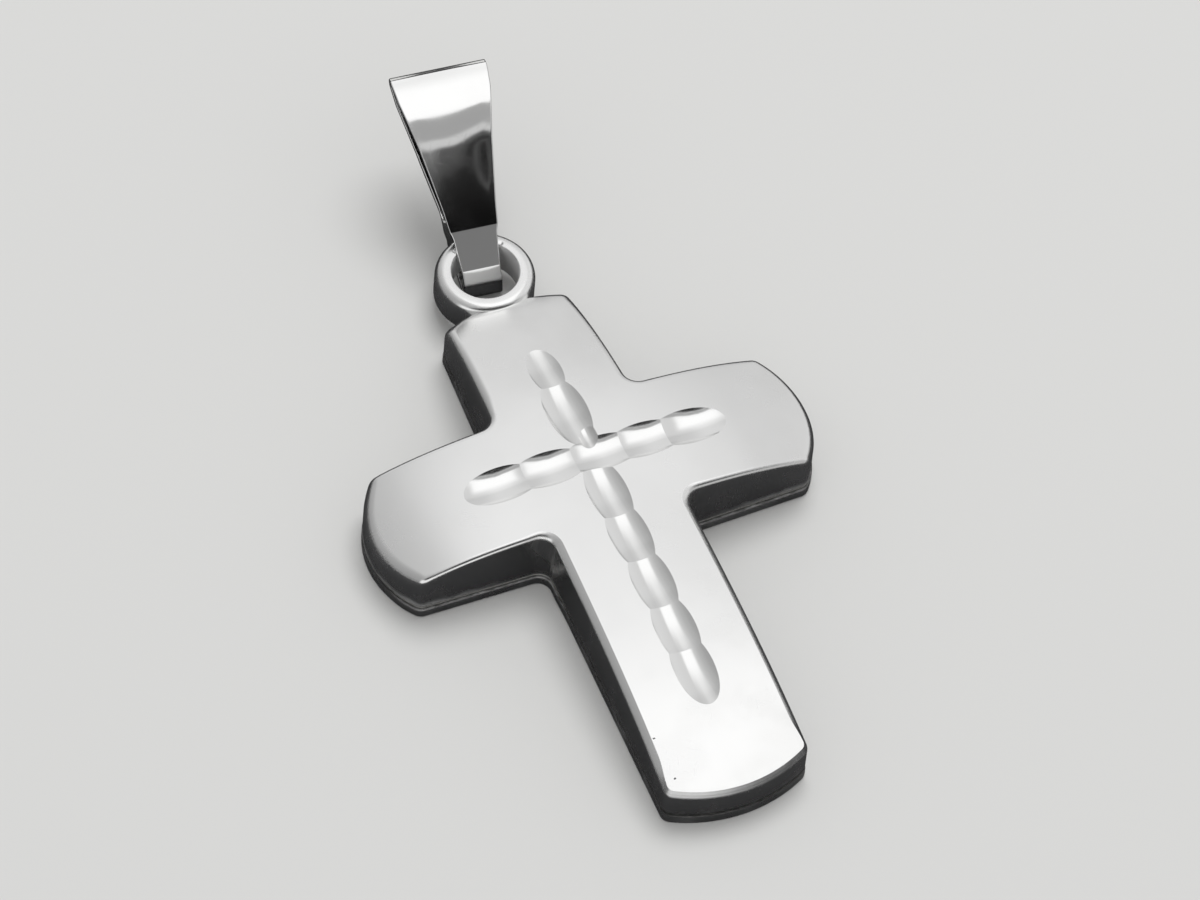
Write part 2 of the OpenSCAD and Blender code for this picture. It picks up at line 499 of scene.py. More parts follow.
class Effects:
    """Shader node groups that the finishes share, each built once."""

    def __init__(self) -> None:
        """Builds the groups."""
        self.scratches = self._scratches()
        self.polish = self._polish()
        self.wear = self._wear()
        self.tarnish = self._tarnish()
        self.seam_shade = self._seam_shade()
        self.nicks = self._nicks()

    @staticmethod
    def _scratches() -> bpy.types.NodeTree:
        """Fine hairline scratches that run in three directions.

        Returns:
            The group.
        """
        t, i, o = new_group("Hairline scratches", "ShaderNodeTree", {
            "Vector": (VECTOR, None), "Density": (FLOAT, 900.0), "Amount": (FLOAT, 0.5)},
            {"Height": FLOAT, "Mask": FLOAT})
        masks = []
        for angle, stretch, level in ((0.5, 16.0, 0.66), (-0.9, 22.0, 0.68), (1.9, 12.0, 0.69)):
            turn = t.out("ShaderNodeMapping", {"Vector": i["Vector"],
                                               "Rotation": (0.0, 0.0, angle)})
            flat = t.vector("MULTIPLY", turn, (1.0, stretch, 1.0))
            line = t.noise(flat, i["Density"])
            masks.append(t.ramp(line, level, level + 0.05))
        both = t.math("MAXIMUM", t.math("MAXIMUM", masks[0], masks[1]), masks[2])
        faint = t.ramp(t.noise(i["Vector"], scale=240.0, detail=1.0), low=0.42, high=0.62)
        mask = t.times(t.times(both, i["Amount"]), faint, True)
        t.link(mask, o, "Mask")
        t.link(t.times(mask, -1.0), o, "Height")
        return t.tree

    @staticmethod
    def _polish() -> bpy.types.NodeTree:
        """Slight waves and clouded patches that polishing leaves.

        Returns:
            The group.
        """
        t, i, o = new_group("Polishing waves", "ShaderNodeTree", {
            "Vector": (VECTOR, None), "Wave size": (FLOAT, 220.0), "Cloud size": (FLOAT, 500.0)},
            {"Height": FLOAT, "Clouds": FLOAT})
        waves = t.noise(i["Vector"], i["Wave size"], detail=1.0, roughness=0.4)
        t.link(waves, o, "Height")
        clouds = t.noise(i["Vector"], i["Cloud size"], detail=3.0)
        t.link(t.ramp(clouds, low=0.35, high=0.7), o, "Clouds")
        return t.tree

    @staticmethod
    def _wear() -> bpy.types.NodeTree:
        """Wear along edges: brighter, rougher specks close to a rim.

        Returns:
            The group.
        """
        t, i, o = new_group("Edge wear", "ShaderNodeTree", {
            "Vector": (VECTOR, None), "Rim": (FLOAT, 0.0), "Amount": (FLOAT, 0.5)},
            {"Mask": FLOAT, "Height": FLOAT})
        grain = t.noise(i["Vector"], scale=5200.0, detail=3.0, roughness=0.6)
        broken = t.ramp(t.more(grain, i["Rim"], amount=0.28), low=0.55, high=0.78)
        mask = t.times(t.times(broken, i["Rim"]), i["Amount"], True)
        t.link(mask, o, "Mask")
        t.link(t.times(mask, t.noise(i["Vector"], scale=9000.0, detail=1.0)), o, "Height")
        return t.tree

    @staticmethod
    def _tarnish() -> bpy.types.NodeTree:
        """Faint dulling that collects in patches.

        Returns:
            The group.
        """
        t, i, o = new_group("Light tarnish", "ShaderNodeTree", {
            "Vector": (VECTOR, None), "Size": (FLOAT, 160.0), "Amount": (FLOAT, 0.3),
            "Bright": (COLOUR, (0.9, 0.9, 0.89, 1)), "Dull": (COLOUR, (0.7, 0.69, 0.66, 1))},
            {"Colour": COLOUR})
        cloudy = t.noise(i["Vector"], i["Size"], detail=5.0, roughness=0.62)
        fac = t.times(t.ramp(cloudy, low=0.45, high=0.75), i["Amount"], True)
        t.link(t.mix(fac, i["Bright"], i["Dull"]), o, "Colour")
        return t.tree

    @staticmethod
    def _seam_shade() -> bpy.types.NodeTree:
        """Dark band in the seam, fading above and below: partly tarnish, partly painted shade of
        the recess.

        Returns:
            The group.
        """
        t, i, o = new_group("Seam grime", "ShaderNodeTree", {
            "Vector": (VECTOR, None), "Height": (FLOAT, 0.00067), "Half height": (FLOAT, 0.00013),
            "Fade": (FLOAT, 0.00014), "Amount": (FLOAT, 0.9)}, {"Mask": FLOAT})
        z = t.xyz(i["Vector"])[2]
        away = t.math("ABSOLUTE", t.minus(z, i["Height"]))
        grain = t.noise(i["Vector"], scale=2400.0, detail=4.0, roughness=0.65)
        broken = t.times(grain, i["Fade"])
        share = t.math("DIVIDE", t.minus(t.plus(away, broken), i["Half height"]), i["Fade"])
        mask = t.minus(1.0, share, True)
        t.link(t.times(mask, i["Amount"], True), o, "Mask")
        return t.tree

    @staticmethod
    def _nicks() -> bpy.types.NodeTree:
        """Two tiny nicks at given places of the face.

        Returns:
            The group.
        """
        t, i, o = new_group("Nicks", "ShaderNodeTree", {
            "Vector": (VECTOR, None), "First": (VECTOR, None), "Second": (VECTOR, None),
            "Size": (FLOAT, 0.00007)}, {"Mask": FLOAT})
        long_y = (1.0, 1.6, 0.0)
        flat = t.vector("MULTIPLY", i["Vector"], long_y)
        uneven = t.times(t.noise(i["Vector"], scale=14000.0, detail=1.0), i["Size"])
        masks = []
        for name in ("First", "Second"):
            spot = t.vector("MULTIPLY", i[name], long_y)
            far = t.vector("DISTANCE", flat, spot)
            share = t.math("DIVIDE", t.plus(far, uneven), i["Size"])
            masks.append(t.minus(2.0, t.times(share, 1.3), True))
        t.link(t.math("MAXIMUM", masks[0], masks[1]), o, "Mask")
        return t.tree


class Region(Enum):
    """What a finish lies on, which sets its special marks."""

    PLAIN = "plain"
    SOLDERED_FOOT = "soldered foot"
    NICKED_FACE = "nicked face"


@dataclass(frozen=True)
class SilverFinish:
    """One finish of the silver: how bright, how smooth and how worn it is.

    Depths are in mm, sizes in features per metre.
    """

    name: str
    bright: Triple = (0.93, 0.93, 0.925)
    dull: Triple = (0.78, 0.775, 0.76)
    roughness: float = 0.16
    clouding: float = 0.06
    scratches: float = 0.35
    scratch_depth: float = 0.0006
    wave_depth: float = 0.0012
    wave_size: float = 220.0
    wear: float = 0.4
    grain_depth: float = 0.0
    grain_size: float = 3600.0
    tarnish: float = 0.25
    # Strength of the dark seam band, which is partly tarnish and partly painted shade of the
    # recess.
    seam_shade: float = 0.0
    region: Region = Region.PLAIN
    nicks: tuple[Point, Point] = ((-3.22, -15.48), (-3.03, -17.64))
    nick_depth: float = 0.02
    worn_colour: Triple = (0.97, 0.97, 0.97)
    foot_colour: Triple = (0.95, 0.95, 0.94)
    seam_shade_colour: Triple = (0.06, 0.058, 0.055)
    nick_colour: Triple = (0.03, 0.03, 0.03)
    rougher_lines: float = 0.12
    rougher_wear: float = 0.15
    rougher_foot: float = 0.32
    rougher_seam: float = 0.3

    def material(self, effects: Effects) -> Material:
        """Builds the material.

        Args:
            effects: The shared node groups.

        Returns:
            The material.
        """
        made = bpy.data.materials.new(self.name)
        made.use_nodes = True
        made.node_tree.nodes.clear()
        t = NodeTree(made.node_tree)
        place = t.add("ShaderNodeTexCoord").outputs["Object"]
        rim = t.add("ShaderNodeAttribute", attribute_name="rim").outputs["Fac"]
        lines = t.group(effects.scratches, place, {"Amount": self.scratches})
        waves = t.group(effects.polish, place, {"Wave size": self.wave_size})
        worn = t.group(effects.wear, place, {"Rim": rim, "Amount": self.wear})
        dulling = t.group(effects.tarnish, place, {
            "Bright": (*self.bright, 1), "Dull": (*self.dull, 1), "Amount": self.tarnish})
        colour = t.mix(worn.outputs["Mask"], dulling.outputs["Colour"], (*self.worn_colour, 1))
        rough = t.ramp(waves.outputs["Clouds"], 0.0, 1.0, to_low=self.roughness,
                       to_high=self.roughness + self.clouding)
        rough = t.more(rough, lines.outputs["Mask"], self.rougher_lines)
        rough = t.more(rough, worn.outputs["Mask"], self.rougher_wear)
        normal = self._bump(t, waves.outputs["Height"], self.wave_depth, None)
        normal = self._bump(t, lines.outputs["Height"], self.scratch_depth, normal)
        if self.grain_depth:
            grain = t.noise(place, self.grain_size, detail=4.0, roughness=0.65)
            mask: object = 1.0
            if self.region is Region.SOLDERED_FOOT:
                mask = self._foot_mask(t, place)
                colour = t.mix(t.times(mask, 0.5), colour, (*self.foot_colour, 1))
                rough = t.more(rough, mask, self.rougher_foot)
            height = t.times(grain, mask)
            normal = self._bump(t, height, self.grain_depth, normal)
        # Dark band along the seam: partly tarnish in the crevice, partly painted shade of the
        # recess.
        if self.seam_shade:
            seam_dark = t.group(effects.seam_shade, place, {"Amount": self.seam_shade})
            colour = t.mix(seam_dark.outputs["Mask"], colour, (*self.seam_shade_colour, 1))
            rough = t.more(rough, seam_dark.outputs["Mask"], self.rougher_seam)
        if self.region is Region.NICKED_FACE:
            marks = t.group(effects.nicks, place, {name: (x * MM, y * MM, 0.0) for name, (x, y)
                                                   in zip(("First", "Second"), self.nicks)})
            colour = t.mix(marks.outputs["Mask"], colour, (*self.nick_colour, 1))
            pit = t.times(marks.outputs["Mask"], -1.0)
            normal = self._bump(t, pit, self.nick_depth, normal)
        shader = t.add("ShaderNodeBsdfPrincipled", {"Base Color": colour, "Metallic": 1.0,
                                                    "Roughness": rough, "Normal": normal})
        t.add("ShaderNodeOutputMaterial", {"Surface": shader.outputs[0]})
        return made

    @staticmethod
    def _foot_mask(t: NodeTree, place: NodeSocket) -> NodeSocket:
        """Mask of the rough lower part of the walls, strongest far out on the side arms.

        Args:
            t: The tree.
            place: Place in the object.

        Returns:
            The mask.
        """
        x, _, z = t.xyz(place)
        uneven = t.more(z, t.noise(place, scale=900.0, detail=3.0), amount=0.0006)
        low = t.ramp(uneven, low=0.00112, high=0.00152, to_low=1.0, to_high=0.0)
        far_out = t.ramp(t.math("ABSOLUTE", x), low=0.0045, high=0.0085, to_low=0.15)
        return t.times(low, far_out)

    @staticmethod
    def _bump(t: NodeTree, height: object, depth: float, normal: object) -> NodeSocket:
        """Bump node for a height.

        Args:
            t: The tree.
            height: The height socket, from 0 to 1.
            depth: Depth of the relief, in mm.
            normal: The normal that comes in, or None.

        Returns:
            The normal socket.
        """
        values = {"Strength": 1.0, "Distance": depth * MM, "Height": height}
        if normal is not None:
            values["Normal"] = normal
        return t.out("ShaderNodeBump", values)


FINISHES: tuple[SilverFinish, ...] = (
    SilverFinish("polished_face", roughness=0.2, wear=0.14, region=Region.NICKED_FACE),
    SilverFinish("polished_wall", roughness=0.22, scratches=0.4, wear=0.12, seam_shade=0.85,
                 grain_depth=0.011, region=Region.SOLDERED_FOOT),
    SilverFinish("bright_cut", roughness=0.14, clouding=0.03, scratches=0.1, wear=0.2,
                 wave_depth=0.0004),
    SilverFinish("brushed_back", roughness=0.27, clouding=0.12, scratches=1.0,
                 scratch_depth=0.0015, tarnish=0.5, seam_shade=0.9),
    # Dark solder: partly its own tarnish, partly painted shade of the seam it sits in.
    SilverFinish("rough_solder", bright=(0.42, 0.42, 0.4), dull=(0.2, 0.2, 0.19),
                 roughness=0.4, clouding=0.1, grain_depth=0.02),
    SilverFinish("polished_ring", bright=(0.97, 0.97, 0.965), roughness=0.22, scratches=0.4),
    SilverFinish("cast_inside", roughness=0.72, clouding=0.15, grain_depth=0.012,
                 grain_size=2600.0),
    SilverFinish("mirror_strap", roughness=0.07, clouding=0.03, scratches=0.3,
                 wave_depth=0.002, wave_size=300.0))


# Pieces

@dataclass
class ScoopRow:
    """The scooped cuts along both arms, sunk by Geometry Nodes.

    A wheel with a rounded edge sinks each cut. It rolls along the arm.
    """

    side: tuple[float, ...] = (-4.96, -2.18, 0.62, 3.0, 5.7)
    long: tuple[Point, ...] = (
        (6.15, -0.16), (3.0, 0.05), (-2.3, 0), (-5.0, 0), (-7.98, 0), (-11.0, 0), (-13.5, -0.03))
    touch: Stretch = (0.33, 1.12, 0.19, 0.36)
    depth: float = 0.34
    rolling: float = 6.5
    edge: float = 1.6
    steps: int = 192

    def places(self, dome: Dome) -> Object:
        """Helper mesh with one point for each cut, on the face.

        Args:
            dome: The face.

        Returns:
            The helper object, which carries the turn of each cut.
        """
        spots = [(x, 0.0, 0.0, math.pi / 2, 1.0) for x in self.side]
        spots += [(0.0, y, deeper, 0.0, 1.0) for y, deeper in self.long]
        spots.append((*self.touch[:3], 0.0, self.touch[3]))
        mesh = bpy.data.meshes.new("cut_places")
        mesh.from_pydata([(x * MM, y * MM, (dome.z(x, y) - deeper) * MM)
                          for x, y, deeper, _, _ in spots], [], [])
        for column, name in ((3, "turn"), (4, "size")):
            values = mesh.attributes.new(name, "FLOAT", "POINT")
            values.data.foreach_set("value", [spot[column] for spot in spots])
        return add_object("cut_places", mesh)

    @staticmethod
    def tree() -> bpy.types.NodeTree:
        """Geometry Nodes tree that sinks a wheel into the shell at each place.

        Returns:
            The tree.
        """
        t, i, o = new_group("Scooped cuts", "GeometryNodeTree", {
            "Geometry": ("NodeSocketGeometry", None), "Places": ("NodeSocketObject", None),
            "Rolling radius": (FLOAT, 0.0038), "Edge radius": (FLOAT, 0.0016),
            "Depth": (FLOAT, 0.00034), "Steps": ("NodeSocketInt", 192),
            "Finish": ("NodeSocketMaterial", None)}, {"Geometry": "NodeSocketGeometry"})
        large = t.minus(i["Rolling radius"], i["Edge radius"])
        rim, round_edge = (t.out("GeometryNodeCurvePrimitiveCircle", {
            "Resolution": i["Steps"], "Radius": radius}) for radius in (large, i["Edge radius"]))
        wheel = t.out("GeometryNodeCurveToMesh", {"Curve": rim, "Profile Curve": round_edge})
        lift = t.out("ShaderNodeCombineXYZ", {"Z": t.minus(i["Rolling radius"], i["Depth"])})
        upright = t.out("GeometryNodeTransform", {
            "Geometry": wheel, "Translation": lift, "Rotation": (0.0, math.pi / 2, 0.0)})
        places = t.add("GeometryNodeObjectInfo", {"Object": i["Places"]}).outputs["Geometry"]
        turn, size = (t.out("GeometryNodeInputNamedAttribute", {"Name": name})
                      for name in ("turn", "size"))
        about_z = t.out("ShaderNodeCombineXYZ", {"Z": turn})
        cutters = t.out("GeometryNodeInstanceOnPoints", {
            "Points": places, "Instance": upright,
            "Rotation": t.out("FunctionNodeEulerToRotation", {0: about_z}),
            "Scale": t.out("ShaderNodeCombineXYZ", {"X": size, "Y": size, "Z": size})})
        cut = t.out("GeometryNodeMeshBoolean", {"Mesh 1": i["Geometry"], "Mesh 2": cutters},
                    operation="DIFFERENCE", solver="MANIFOLD")
        real = t.out("GeometryNodeRealizeInstances", {0: cut})
        dressed = t.out("GeometryNodeSetMaterial", {"Geometry": real, "Material": i["Finish"]})
        t.link(dressed, o, "Geometry")
        return t.tree

    def sink(self, shell: Object, dome: Dome, finish: Material) -> None:
        """Sinks the cuts into the shell and bakes the result into its mesh.

        Args:
            shell: The shell.
            dome: Its face.
            finish: Material of the cuts.
        """
        places = self.places(dome)
        bake(shell, self.tree(), {
            "Places": places, "Rolling radius": self.rolling * MM, "Edge radius": self.edge * MM,
            "Depth": self.depth * MM, "Steps": self.steps, "Finish": finish})
        bpy.data.objects.remove(places)


def bake(obj: Object, tree: bpy.types.NodeTree, values: dict[str, object]) -> None:
    """Runs a Geometry Nodes tree on an object and keeps the result as its mesh.

    Args:
        obj: The object.
        tree: The tree.
        values: The tree's inputs by name.
    """
    modifier = obj.modifiers.new(tree.name, "NODES")
    modifier.node_group = tree
    names = {item.name: item.identifier for item in tree.interface.items_tree
             if item.item_type == "SOCKET" and item.in_out == "INPUT"}
    for name, value in values.items():
        modifier[names[name]] = value
    obj.update_tag()
    bpy.context.view_layer.update()
    shown = obj.evaluated_get(bpy.context.evaluated_depsgraph_get())
    mesh = bpy.data.meshes.new_from_object(shown)
    obj.modifiers.remove(modifier)
    old = obj.data
    obj.data = mesh
    mesh.name = obj.name
    bpy.data.meshes.remove(old)


@dataclass
class FrontShell:
    """The pressed front shell: its walls, softly rounded rim, domed face and cuts."""

    outline: Outline = field(default_factory=Outline)
    dome: Dome = field(default_factory=Dome)
    scoops: ScoopRow = field(default_factory=ScoopRow)
    seam: tuple[Point, ...] = ((0.62, -0.07), (0.69, -0.07), (0.74, -0.03), (0.8, 0.0))
    filed: float = 0.85
    wall_tilt: float = 0.3
    wall_top: float = 1.0
    rim_width: float = 0.34
    rim_height: float = 0.36
    rim_steps: int = 9
    wall_steps: int = 8
    first_bend: Point = (32.0, 0.22)
    last_bend: float = 20.0
    steeper: float = 0.4
    inner_rings: Point = (0.04, 0.14)
    grid: float = 0.2
    grid_start: Point = (0.013, 0.017)
    grid_gap: float = 0.6
    columns: range = range(-60, 61)
    rows: range = range(-100, 61)
    lower_rim: Point = (-3.2, -4.2)
    foot_rim: Point = (-16.4, -17.9)
    near_rim: Point = (-2.4, -3.2)
    arm_rim: tuple[Point, Point] = ((3.6, 4.8), (10.6, 8.8))
    left_rim: Point = (-9.4, -10.8)
    upper_rim: tuple[Point, Point] = ((4.0, 5.2), (-2.0, -3.0))
    near_crisp: Point = (0.2, 0.5)
    sizes: Stretch = (-0.32, -0.06, 0.5, 0.4)
    cut_span: Triple = (9.0, 16.0, 1.5)
    cut_least: float = 0.004

    def _rim_shape(self, p: Point) -> Triple:
        """Shape of the rim, which the polishing wore down unevenly.

        Args:
            p: Place on the outline.

        Returns:
            How crisply the rim meets the face, from 0 to 1, its size against the usual one,
            and how straight and steep it is, from 0 to 1.
        """
        x, y = p
        lower = smoothstep(*self.lower_rim, y)
        foot = smoothstep(*self.foot_rim, y)
        inner, outer = self.arm_rim
        on_arm = smoothstep(*inner, abs(x)) * smoothstep(*outer, abs(x))
        near = smoothstep(*self.near_rim, y) * on_arm
        left_end = smoothstep(*self.left_rim, x)
        upper_left = smoothstep(*self.upper_rim[0], y) * smoothstep(*self.upper_rim[1], x)
        crisp = max(lower, near * self.near_crisp[x > 0])
        places = (near, foot, left_end, upper_left)
        size = 1 + sum(more * place for more, place in zip(self.sizes, places))
        return round(crisp, 2), round(size, 2), round(foot, 2)

    def _rim_profile(self, crisp: float, size: float, straight: float) -> list[Point]:
        """Rim from the wall up to the face, as insets and drops under the face.

        Args:
            crisp: 0 for a round rim, 1 for one that meets the face in an edge.
            size: Its size against the usual one.
            straight: 1 for a straight and steep rim.

        Returns:
            One inset and drop for each step.
        """
        steps = self.rim_steps
        bend, bend_share = self.first_bend
        fall, reach = self.last_bend * (1 - straight), 1 - self.steeper * straight
        insets, rises = [0.0], [0.0]
        for k in range(steps):
            share = (k + 0.5) / steps
            beyond = max(0.0, (share - bend_share) / (1 - bend_share))
            edge = 90 - bend * min(1.0, share / bend_share) - fall * beyond
            slope = math.radians(90 * (1 - share) * (1 - crisp) + edge * crisp)
            insets.append(insets[-1] + math.cos(slope))
            rises.append(rises[-1] + math.sin(slope))
        width, height = reach * size * self.rim_width, size * self.rim_height
        return [(width * i / insets[-1], height * (1 - r / rises[-1]))
                for i, r in zip(insets[1:], rises[1:])]

    def _face_z(self, p: Point) -> float:
        """Height of the face at a place."""
        return self.dome.z(p[0], p[1])

    def build(self, cut_finish: Material) -> Object:
        """Builds the shell with its cuts.

        Args:
            cut_finish: Material of the cuts.

        Returns:
            The object, without its own finish.
        """
        edge = self.outline.loop(0.0)
        loops = [[Vector((x, y, z)) for x, y in self.outline.offset(grow, self.filed)]
                 for z, grow in self.seam]
        low = self.seam[-1][0]
        shapes = [self._rim_shape(p) for p in edge]
        tops = [self._face_z(p) - self.rim_height * size for p, (_, size, _) in zip(edge, shapes)]
        for k in range(1, self.wall_steps + 1):
            share = k / self.wall_steps
            loops.append([Vector((x, y, low + (top - low) * share))
                          for (x, y), top in zip(edge, tops)])
        inset_loops: dict[int, list[Point]] = {}
        profiles = [self._rim_profile(*shape) for shape in shapes]
        for profile in profiles:
            profile += [(profile[-1][0] + more, 0.0) for more in self.inner_rings]
        for k in range(self.rim_steps + len(self.inner_rings)):
            ring: Loop = []
            for j, profile in enumerate(profiles):
                inset, drop = profile[k]
                key = round(inset * 1000)
                if key not in inset_loops:
                    inset_loops[key] = self.outline.loop(-inset)
                x, y = inset_loops[key][j]
                ring.append(Vector((x, y, self._face_z((x, y)) - drop)))
            loops.append(ring)
        self.rim_line = [v.copy() for v in loops[-3]]
        verts, faces = skin(loops)
        n = len(edge)
        faces.append(list(range(n))[::-1])
        self._fill(verts, faces, len(loops) - 1, n)
        shell = mesh_object("front_shell", verts, faces)
        self.scoops.sink(shell, self.dome, cut_finish)
        return shell

    def _fill(self, verts: list[Vector], faces: list[list[int]], last: int, n: int) -> None:
        """Fills the face inside the last ring with a fine grid.

        Args:
            verts: Vertices so far, which grow.
            faces: Faces so far, which grow.
            last: Number of the last ring.
            n: Points in a ring.
        """
        start = last * n
        rim = [verts[start + j] for j in range(n)]
        flat = [Vector((v.x, v.y)) for v in rim]
        tree = kdtree.KDTree(n)
        for j, v in enumerate(flat):
            tree.insert((v.x, v.y, 0.0), j)
        tree.balance()
        start_x, start_y = self.grid_start
        inside: list[Vector] = []
        for ix in self.columns:
            for iy in self.rows:
                p = Vector((ix * self.grid + start_x, iy * self.grid + start_y))
                away = tree.find((p.x, p.y, 0.0))[2]
                if away > self.grid_gap * self.grid and self._within(p):
                    inside.append(p)
        made = geometry.delaunay_2d_cdt(
            flat + inside, [(j, (j + 1) % n) for j in range(n)], [list(range(n))], 1, 1e-6)
        where: list[int] = []
        for p, source in zip(made[0], made[3]):
            if source and source[0] < n:
                where.append(start + source[0])
            else:
                where.append(len(verts))
                verts.append(Vector((p.x, p.y, self._face_z((p.x, p.y)))))
        faces += [[where[i] for i in f] for f in made[2]]

    def _within(self, p: Vector) -> bool:
        """Whether a place lies roughly inside the outline.

        Args:
            p: The place.

        Returns:
            Whether it does.
        """
        o = self.outline
        in_long = abs(p.x) < o.lower.end_width / 2 and -o.lower.reach < p.y < o.upper.reach
        in_side = abs(p.y) < o.left.root_width / 2 and -o.left.reach < p.x < o.right.reach
        return in_long or in_side

    def dress(self, shell: Object, face: Material, wall: Material, cut: Material) -> None:
        """Gives the face, the walls and the cuts their finishes.

        Args:
            shell: The shell.
            face: Finish of the face and rim.
            wall: Finish of the walls.
            cut: Finish of the cuts.
        """
        mesh = shell.data
        wide, long, off = self.cut_span
        mesh.materials.clear()
        for finish in (face, wall, cut):
            mesh.materials.append(finish)
        for polygon in mesh.polygons:
            c = polygon.center / MM
            if abs(polygon.normal.z) < self.wall_tilt or c.z < self.wall_top:
                polygon.material_index = 1
            elif (abs(c.x) < wide and abs(c.y) < long and min(abs(c.x), abs(c.y)) < off
                  and c.z < self.dome.z(c.x, c.y) - self.cut_least):
                polygon.material_index = 2
            else:
                polygon.material_index = 0
        finish_mesh(shell, sharp=11, wear=0.12, rims=self.rim_line)
        settle(shell, "pendant_body")


@dataclass
class BackPlate:
    """The flat back plate, whose fine edge stands out past the shell."""

    outline: Outline = field(default_factory=Outline)
    lip: float = 0.08
    filed: float = 0.7
    edge: tuple[Point, ...] = (
        (0.0, -0.04), (0.012, 0.01), (0.05, 0.06), (0.12, 0.08), (0.5, 0.08), (0.57, 0.06),
        (0.6, 0.02))

    def build(self) -> Object:
        """Builds the plate as a closed slab with softened edges.

        Returns:
            The object.
        """
        loops = [[Vector((x, y, z)) for x, y in self.outline.offset(grow, self.filed)]
                 for z, grow in self.edge]
        verts, faces = skin(loops)
        n = len(loops[0])
        for row in (0, len(loops) - 1):
            faces += self._cap(loops[row], list(range(row * n, row * n + n)))
        return mesh_object("back_plate", verts, faces)

    @staticmethod
    def _cap(ring: Loop, ids: list[int]) -> list[list[int]]:
        """Triangles that close a ring, in its vertices' numbers."""
        return [[ids[i] for i in tri] for tri in geometry.tessellate_polygon([ring])]

    def dress(self, plate: Object, finish: Material) -> None:
        """Gives the plate its finish and its body.

        Args:
            plate: The plate.
            finish: Its finish.
        """
        plate.data.materials.append(finish)
        finish_mesh(plate, sharp=40, wear=0.1, rims=[
            Vector((x, y, 0.03)) for x, y in self.outline.offset(self.lip, self.filed)])
        settle(plate, "pendant_body")


@dataclass
class SolderBead:
    """The rough line of solder in the seam, laid round the outline by Geometry Nodes."""

    outline: Outline = field(default_factory=Outline)
    height: float = 0.67
    radius: float = 0.065
    inset: float = 0.07
    lumps: float = 0.03
    step: float = 0.09

    @staticmethod
    def tree() -> bpy.types.NodeTree:
        """Geometry Nodes tree that sweeps a lumpy bead along a closed line.

        Returns:
            The tree.
        """
        t, i, o = new_group("Solder bead", "GeometryNodeTree", {
            "Geometry": ("NodeSocketGeometry", None), "Step": (FLOAT, 0.00006),
            "Radius": (FLOAT, 0.00008), "Lump height": (FLOAT, 0.00003),
            "Lump size": (FLOAT, 4200.0), "Seed": (FLOAT, 3.0),
            "Finish": ("NodeSocketMaterial", None)}, {"Geometry": "NodeSocketGeometry"})
        line = t.out("GeometryNodeMeshToCurve", {"Mesh": i["Geometry"]})
        even = t.out("GeometryNodeResampleCurve", {"Curve": line, "Length": i["Step"]},
                     mode="LENGTH")
        profile = t.out("GeometryNodeCurvePrimitiveCircle", {
            "Resolution": 10, "Radius": i["Radius"]})
        bead = t.out("GeometryNodeCurveToMesh", {"Curve": even, "Profile Curve": profile})
        noise = t.out("ShaderNodeTexNoise", {
            "Scale": i["Lump size"], "Detail": 3.0, "W": i["Seed"]}, noise_dimensions="4D")
        swell = t.times(t.minus(noise, 0.5), i["Lump height"])
        push = t.out("ShaderNodeVectorMath", {
            0: t.out("GeometryNodeInputNormal"), "Scale": t.times(swell, 2.0)}, operation="SCALE")
        rough = t.out("GeometryNodeSetPosition", {"Geometry": bead, "Offset": push})
        smooth = t.out("GeometryNodeSetShadeSmooth", {"Geometry": rough})
        real = t.out("GeometryNodeRealizeInstances", {0: smooth})
        dressed = t.out("GeometryNodeSetMaterial", {"Geometry": real, "Material": i["Finish"]})
        t.link(dressed, o, "Geometry")
        return t.tree

    def build(self, finish: Material) -> Object:
        """Lays the bead.

        Args:
            finish: Finish of the solder.

        Returns:
            The object.
        """
        ring = self.outline.loop(-self.inset)
        mesh = bpy.data.meshes.new("solder_bead")
        mesh.from_pydata([(x * MM, y * MM, self.height * MM) for x, y in ring],
                         [(j, (j + 1) % len(ring)) for j in range(len(ring))], [])
        obj = add_object("solder_bead", mesh)
        bake(obj, self.tree(), {"Radius": self.radius * MM, "Lump height": self.lumps * MM,
                                "Finish": finish, "Step": self.step * MM})
        finish_mesh(obj, sharp=60, wear=0.1)
        settle(obj, "pendant_body")
        return obj


